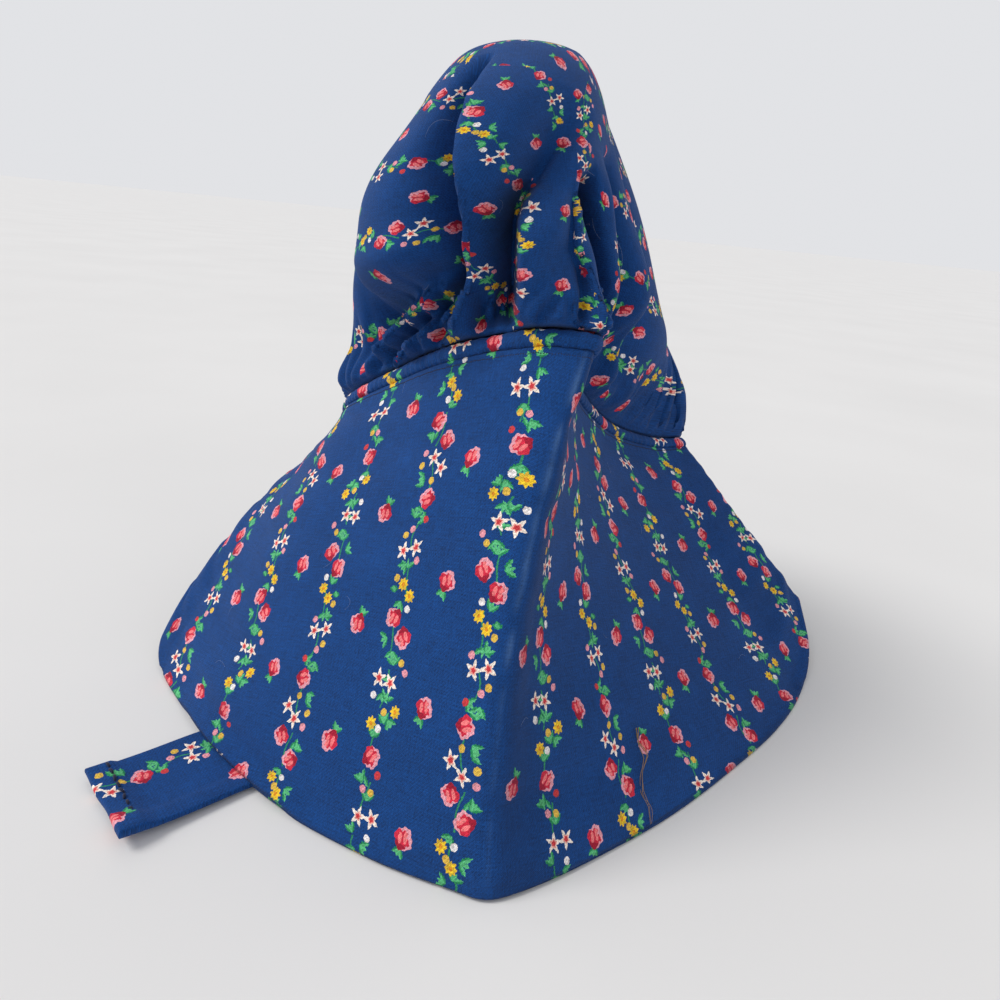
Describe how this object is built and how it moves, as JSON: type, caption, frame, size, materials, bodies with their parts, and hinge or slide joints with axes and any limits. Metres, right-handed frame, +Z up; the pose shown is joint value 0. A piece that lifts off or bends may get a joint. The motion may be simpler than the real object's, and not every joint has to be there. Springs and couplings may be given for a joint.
{
  "type": "sunbonnet",
  "caption": "Child's cotton sunbonnet with a stiff creased brim, a gathered crown bag, a neck frill and two flat ties, standing on the front edge of its brim.",
  "frame": {"origin": "on the surface that the bonnet stands on, under the brim's edge just right of the foot of its crease", "axes": "+Z up, +Y to the back of the bonnet, +X to the right as the crease points at the viewer"},
  "size_m": [0.2016, 0.2439, 0.168],
  "materials": {
    "brim_cotton": "matte printed cotton, stiffened",
    "welt_cotton": "matte printed cotton, rolled and topstitched",
    "crown_cotton": "matte printed cotton, soft and gathered",
    "frill_cotton": "matte printed cotton, soft and gathered",
    "tie_cotton": "matte printed cotton, two layers"
  },
  "bodies": {
    "root": {"brim": "brim_cotton", "seam_welt": "welt_cotton", "crown": "crown_cotton", "neck_frill": "frill_cotton", "tie_right": "tie_cotton", "tie_left": "tie_cotton"}
  },
  "joints": []
}
